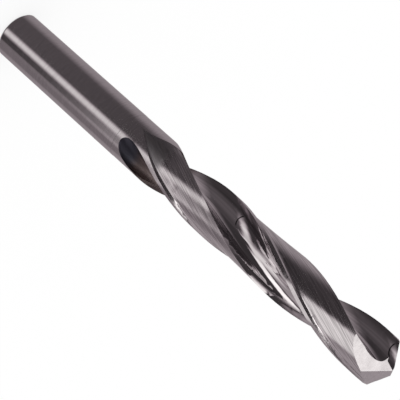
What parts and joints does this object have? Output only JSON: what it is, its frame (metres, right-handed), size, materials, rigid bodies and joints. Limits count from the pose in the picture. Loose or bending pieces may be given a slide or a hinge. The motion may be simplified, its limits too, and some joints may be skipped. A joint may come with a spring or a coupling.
{
  "type": "carbide stub drill",
  "caption": "Solid carbide stub drill: right-hand helical flutes, split point with ground facets, plain round shank.",
  "frame": {"origin": "centre of the flat shank end, on the drill's axis", "axes": "+Z along the drill's axis, from the shank end to the point; the two lips lie nearly along X"},
  "size_m": [0.01, 0.01, 0.102],
  "materials": {
    "carbide": "ground, uncoated cemented carbide: semi-bright, with fine grinding lines"
  },
  "bodies": {
    "root": {"stub_drill": "carbide"}
  },
  "joints": []
}
